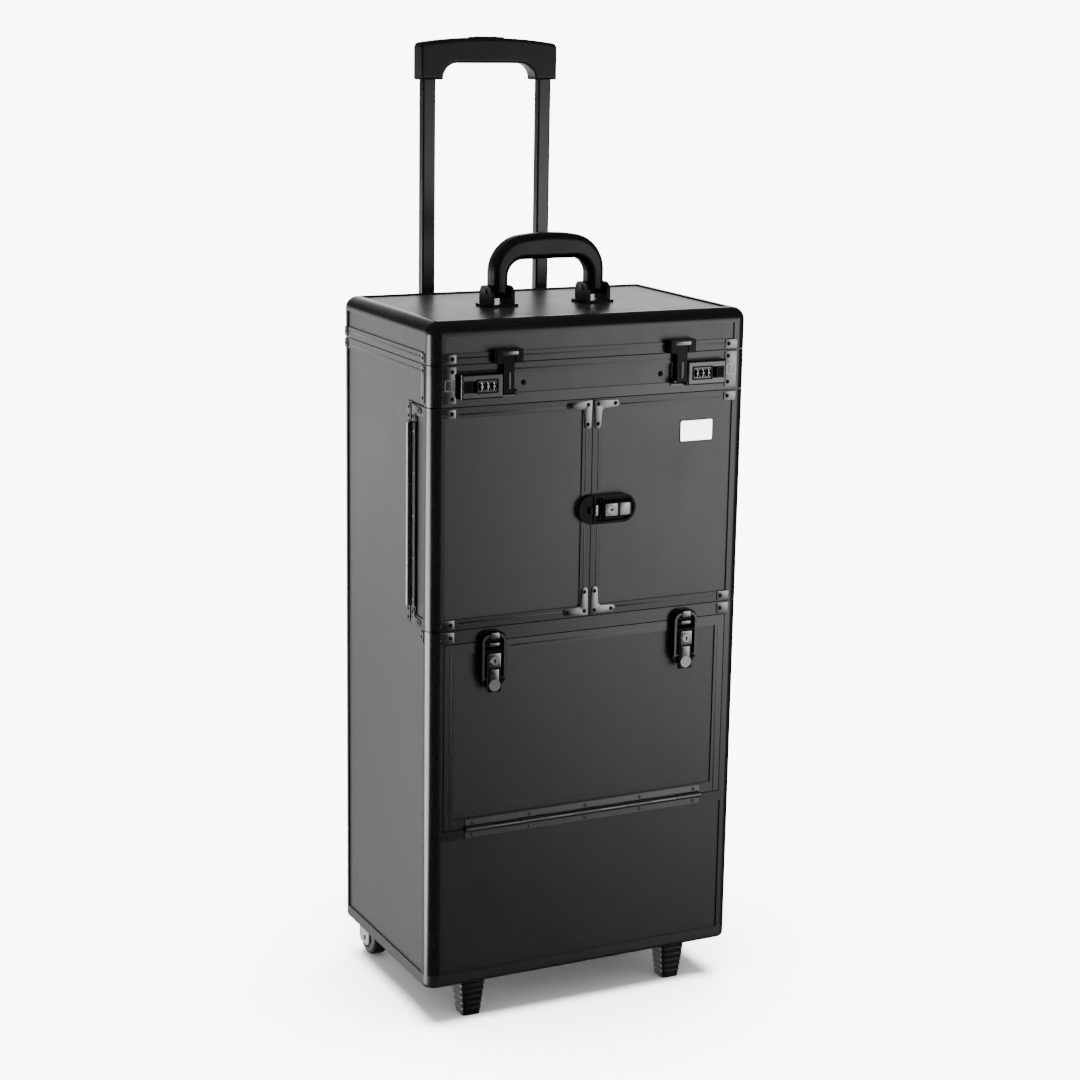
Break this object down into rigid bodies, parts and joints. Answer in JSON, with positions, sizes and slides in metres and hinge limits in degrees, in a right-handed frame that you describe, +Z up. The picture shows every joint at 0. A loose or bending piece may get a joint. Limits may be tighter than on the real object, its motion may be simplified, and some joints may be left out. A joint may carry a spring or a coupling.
{
  "type": "hairdressers trolley case",
  "caption": "Tall black trolley case with tip-back lid, paired doors, drop-down flap, oval draw latches, code locks, carry handle and pull-out trolley handle.",
  "frame": {"origin": "on the floor, in the middle of the part's outline seen from above", "axes": "+Z up, -Y towards the front with the doors and flap, +X to the right seen from the front"},
  "size_m": [0.3848, 0.2976, 1.0428],
  "materials": {
    "panel_black": "board faced with semi-gloss black laminate",
    "profile_black": "glossy black edge profile",
    "hinge_black": "black painted steel",
    "pin_steel": "plated steel",
    "latch_black": "black enamelled latch shells",
    "latch_nickel": "satin nickel plate",
    "lock_black": "black moulded dials and buttons",
    "handle_black": "black moulded carry handle",
    "tube_grey": "dark anodised tube",
    "moulded_black": "black moulded plastic",
    "wheel_black": "hard black rubber"
  },
  "bodies": {
    "case": {"base_frame": "profile_black", "rear_corner_posts": "profile_black", "front_frames": "profile_black", "case_rim": "profile_black", "left_side_panel": "panel_black", "right_side_panel": "panel_black", "back_panel": "panel_black", "bottom_panel": "panel_black", "front_panels": "panel_black", "shelf_boards": "panel_black", "door_frame": "profile_black", "fixed_hinge_leaves": "hinge_black", "hinge_pins": "pin_steel", "lock_bodies": "latch_nickel", "flap_keepers": "latch_black", "front_feet": "moulded_black", "wheel_forks": "pin_steel", "wheel_axles": "pin_steel", "outer_tubes": "tube_grey", "tube_brackets": "moulded_black"},
    "lid": {"lid_frame": "profile_black", "lid_top_panel": "panel_black", "lid_skirt_panels": "panel_black", "lid_hinge_leaf": "hinge_black", "lid_catches": "latch_black", "handle_ears": "handle_black", "handle_pins": "pin_steel"},
    "carry_handle": {"carry_handle": "handle_black"},
    "left_door": {"left_door_frame": "profile_black", "left_door_panels": "panel_black", "left_door_hinge_leaf": "hinge_black", "door_keeper": "latch_black"},
    "right_door": {"right_door_frame": "profile_black", "right_door_panels": "panel_black", "right_door_hinge_leaf": "hinge_black", "door_latch_base": "latch_black"},
    "flap": {"flap_frame": "profile_black", "flap_panel": "panel_black", "flap_hinge_leaf": "hinge_black", "flap_latch_bases": "latch_black"},
    "trolley_handle": {"inner_tubes": "tube_grey", "trolley_grip": "moulded_black"},
    "door_latch_lever": {"door_latch_lever": "latch_black"},
    "release_button": {"release_button": "moulded_black"},
    "left_flap_latch_lever": {"left_flap_latch_lever": "latch_black"},
    "left_flap_latch_bail": {"left_flap_latch_bail": "latch_nickel"},
    "left_lock_strap": {"left_lock_strap": "latch_black"},
    "left_lock_slider": {"left_lock_slider": "lock_black"},
    "left_dial_1": {"left_dial_1": "lock_black"},
    "left_dial_2": {"left_dial_2": "lock_black"},
    "left_dial_3": {"left_dial_3": "lock_black"},
    "left_wheel": {"left_wheel": "wheel_black"},
    "right_flap_latch_lever": {"right_flap_latch_lever": "latch_black"},
    "right_flap_latch_bail": {"right_flap_latch_bail": "latch_nickel"},
    "right_lock_strap": {"right_lock_strap": "latch_black"},
    "right_lock_slider": {"right_lock_slider": "lock_black"},
    "right_dial_1": {"right_dial_1": "lock_black"},
    "right_dial_2": {"right_dial_2": "lock_black"},
    "right_dial_3": {"right_dial_3": "lock_black"},
    "right_wheel": {"right_wheel": "wheel_black"}
  },
  "joints": [
    {"name": "lid_hinge", "type": "hinge", "parent": "case", "child": "lid", "pos_m": [0, 0.10765, 0.722], "axis": [-1, 0, 0], "range_deg": [0, 45]},
    {"name": "carry_handle_swing", "type": "hinge", "parent": "lid", "child": "carry_handle", "pos_m": [0, -0.02075, 0.7795], "axis": [1, 0, 0], "range_deg": [-85, 85]},
    {"name": "left_door_hinge", "type": "hinge", "parent": "case", "child": "left_door", "pos_m": [-0.1894, -0.09125, 0.561], "axis": [0, 0, -1], "range_deg": [0, 170]},
    {"name": "right_door_hinge", "type": "hinge", "parent": "case", "child": "right_door", "pos_m": [0.1894, -0.09125, 0.561], "axis": [0, 0, 1], "range_deg": [0, 170]},
    {"name": "flap_hinge", "type": "hinge", "parent": "case", "child": "flap", "pos_m": [0, -0.14115, 0.224], "axis": [1, 0, 0], "range_deg": [0, 165]},
    {"name": "left_flap_lever_pivot", "type": "hinge", "parent": "flap", "child": "left_flap_latch_lever", "pos_m": [-0.115, -0.14325, 0.418], "axis": [-1, 0, 0], "range_deg": [0, 100]},
    {"name": "left_flap_bail_pivot", "type": "hinge", "parent": "left_flap_latch_lever", "child": "left_flap_latch_bail", "pos_m": [-0.115, -0.14535, 0.39], "axis": [-1, 0, 0], "range_deg": [-100, 0]},
    {"name": "right_flap_lever_pivot", "type": "hinge", "parent": "flap", "child": "right_flap_latch_lever", "pos_m": [0.115, -0.14325, 0.418], "axis": [-1, 0, 0], "range_deg": [0, 100]},
    {"name": "right_flap_bail_pivot", "type": "hinge", "parent": "right_flap_latch_lever", "child": "right_flap_latch_bail", "pos_m": [0.115, -0.14535, 0.39], "axis": [-1, 0, 0], "range_deg": [-100, 0]},
    {"name": "door_lever_pivot", "type": "hinge", "parent": "right_door", "child": "door_latch_lever", "pos_m": [0.0105, -0.14325, 0.56], "axis": [0, 0, -1], "range_deg": [0, 100]},
    {"name": "left_strap_pivot", "type": "hinge", "parent": "case", "child": "left_lock_strap", "pos_m": [-0.1014, -0.14275, 0.692], "axis": [1, 0, 0], "range_deg": [0, 110]},
    {"name": "left_dial_1_turn", "type": "hinge", "parent": "case", "child": "left_dial_1", "pos_m": [-0.1192, -0.14335, 0.7], "axis": [1, 0, 0], "continuous": true},
    {"name": "left_dial_2_turn", "type": "hinge", "parent": "case", "child": "left_dial_2", "pos_m": [-0.126, -0.14335, 0.7], "axis": [1, 0, 0], "continuous": true},
    {"name": "left_dial_3_turn", "type": "hinge", "parent": "case", "child": "left_dial_3", "pos_m": [-0.1328, -0.14335, 0.7], "axis": [1, 0, 0], "continuous": true},
    {"name": "left_lock_slide", "type": "slide", "parent": "case", "child": "left_lock_slider", "axis": [1, 0, 0], "range_m": [0, 0.004], "stiffness_N_per_m": 300},
    {"name": "right_strap_pivot", "type": "hinge", "parent": "case", "child": "right_lock_strap", "pos_m": [0.1014, -0.14275, 0.692], "axis": [1, 0, 0], "range_deg": [0, 110]},
    {"name": "right_dial_1_turn", "type": "hinge", "parent": "case", "child": "right_dial_1", "pos_m": [0.1192, -0.14335, 0.7], "axis": [1, 0, 0], "continuous": true},
    {"name": "right_dial_2_turn", "type": "hinge", "parent": "case", "child": "right_dial_2", "pos_m": [0.126, -0.14335, 0.7], "axis": [1, 0, 0], "continuous": true},
    {"name": "right_dial_3_turn", "type": "hinge", "parent": "case", "child": "right_dial_3", "pos_m": [0.1328, -0.14335, 0.7], "axis": [1, 0, 0], "continuous": true},
    {"name": "right_lock_slide", "type": "slide", "parent": "case", "child": "right_lock_slider", "axis": [-1, 0, 0], "range_m": [0, 0.004], "stiffness_N_per_m": 300},
    {"name": "trolley_slide", "type": "slide", "parent": "case", "child": "trolley_handle", "axis": [0, 0, 1], "range_m": [-0.338, 0]},
    {"name": "release_button_press", "type": "slide", "parent": "trolley_handle", "child": "release_button", "axis": [0, 0, -1], "range_m": [0, 0.003], "stiffness_N_per_m": 500},
    {"name": "left_wheel_turn", "type": "hinge", "parent": "case", "child": "left_wheel", "pos_m": [-0.156, 0.08425, 0.0205], "axis": [1, 0, 0], "continuous": true},
    {"name": "right_wheel_turn", "type": "hinge", "parent": "case", "child": "right_wheel", "pos_m": [0.156, 0.08425, 0.0205], "axis": [1, 0, 0], "continuous": true}
  ],
  "couplings": [
    {"joint": "left_flap_bail_pivot", "follows": "left_flap_lever_pivot", "ratio": -1},
    {"joint": "right_flap_bail_pivot", "follows": "right_flap_lever_pivot", "ratio": -1}
  ]
}
